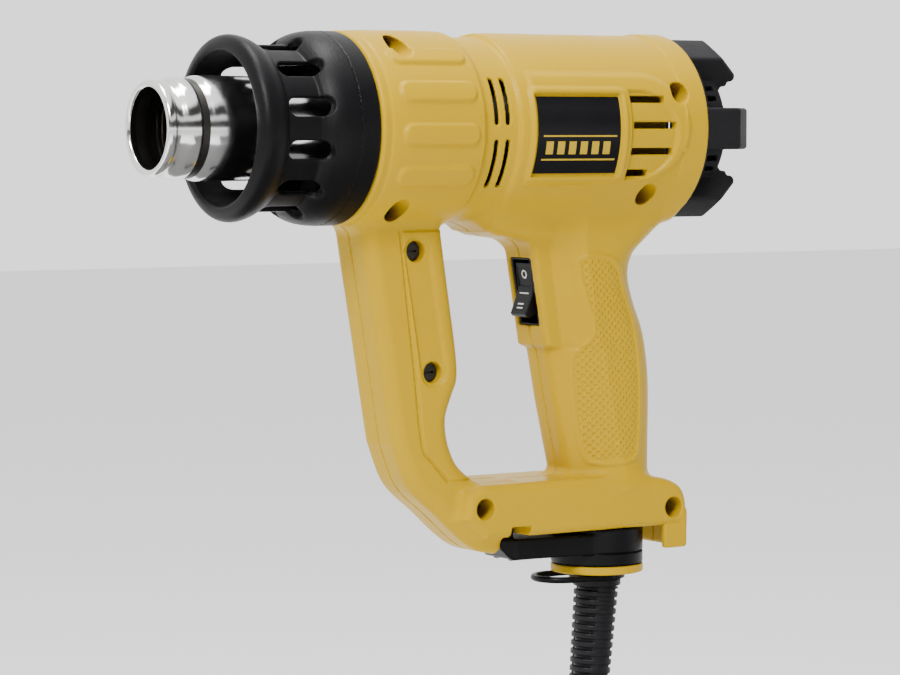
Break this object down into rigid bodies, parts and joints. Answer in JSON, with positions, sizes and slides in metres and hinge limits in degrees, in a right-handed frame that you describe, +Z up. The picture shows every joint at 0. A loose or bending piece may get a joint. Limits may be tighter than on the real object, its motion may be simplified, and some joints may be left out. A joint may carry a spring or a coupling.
{
  "type": "heat gun",
  "caption": "Corded hot-air gun with steel nozzle, slotted heat guard, closed pistol grip with guard post, rocker switch, swivelling base stand, hanging loop and ribbed cord sleeve",
  "frame": {"origin": "middle of the hand grip, on the tool's mid-plane, where a hand or a tool hook holds it", "axes": "+X to the rear of the tool, away from the nozzle; +Y to the tool's right side; +Z up, from the base to the barrel"},
  "size_m": [0.249, 0.0734, 0.4587],
  "materials": {
    "housing_yellow": "moulded glass-filled nylon, fine texture, satin",
    "label_black": "printed film label, satin black",
    "cover_grey": "moulded nylon, fine texture",
    "zinc_screws": "zinc-plated",
    "nozzle_steel": "polished stainless tube with heat tint",
    "guard_black": "heat-proof moulding, satin black",
    "sheet_steel": "plain sheet and bar steel",
    "mica": "pressed mica board",
    "ceramic": "unglazed ceramic",
    "heating_wire": "oxidised resistance wire",
    "fan_plastic": "black nylon",
    "brass_parts": "plain brass, nickel flash on the plug pins",
    "board_green": "fibreglass circuit board",
    "diode_black": "epoxy",
    "switch_black": "smooth black switch moulding",
    "wire_brown": "PVC insulation",
    "wire_blue": "PVC insulation",
    "stand_black": "moulded nylon, smooth",
    "rubber_pad": "soft rubber",
    "sleeve_rubber": "soft ribbed rubber",
    "cord_rubber": "rubber sheath",
    "tie_black": "hook-and-loop strap"
  },
  "bodies": {
    "housing": {"left_housing": "housing_yellow", "right_housing": "housing_yellow", "label_left": "label_black", "label_right": "label_black", "rear_cover": "cover_grey", "housing_screws": "zinc_screws", "nozzle": "nozzle_steel", "heat_shield": "sheet_steel", "mica_sleeve": "mica", "heater_core": "ceramic", "heater_fins": "mica", "heater_coil": "heating_wire", "thermal_cutout": "sheet_steel", "fan_duct": "fan_plastic", "motor_can": "sheet_steel", "motor_plate": "fan_plastic", "motor_brushes": "brass_parts", "rectifier_board": "board_green", "diodes": "diode_black", "switch_body": "switch_black", "switch_tabs": "brass_parts", "wire_live": "wire_brown", "wire_neutral": "wire_blue", "cord_clamp": "fan_plastic", "clamp_screws": "zinc_screws", "swivel_bush": "stand_black", "retaining_ring": "housing_yellow", "cord_sleeve": "sleeve_rubber", "power_cord": "cord_rubber", "cord_coil": "cord_rubber", "cord_tail": "cord_rubber", "cord_tie": "tie_black", "plug_body": "cord_rubber", "plug_pins": "brass_parts"},
    "guard": {"heat_guard": "guard_black"},
    "rotor": {"motor_shaft": "sheet_steel", "fan": "fan_plastic"},
    "rocker": {"rocker_switch": "switch_black"},
    "stand": {"support_stand": "stand_black", "stand_pads": "rubber_pad"},
    "hanger": {"hanging_ring": "stand_black"}
  },
  "joints": [
    {"name": "guard_slide", "type": "slide", "parent": "housing", "child": "guard", "axis": [-1, 0, 0], "range_m": [0, 0.08]},
    {"name": "rotor_spin", "type": "hinge", "parent": "housing", "child": "rotor", "pos_m": [-0.024, 0, 0.095], "axis": [1, 0, 0], "continuous": true},
    {"name": "rocker_tilt", "type": "hinge", "parent": "housing", "child": "rocker", "pos_m": [-0.02509, 0, 0.03354], "axis": [0, -1, 0], "range_deg": [0, 24]},
    {"name": "stand_swivel", "type": "hinge", "parent": "housing", "child": "stand", "pos_m": [0.0035, 0, -0.067], "axis": [0, 0, 1], "range_deg": [-90, 90]},
    {"name": "hanger_swivel", "type": "hinge", "parent": "housing", "child": "hanger", "pos_m": [0.0035, 0, -0.079], "axis": [0, 0, 1], "continuous": true}
  ]
}
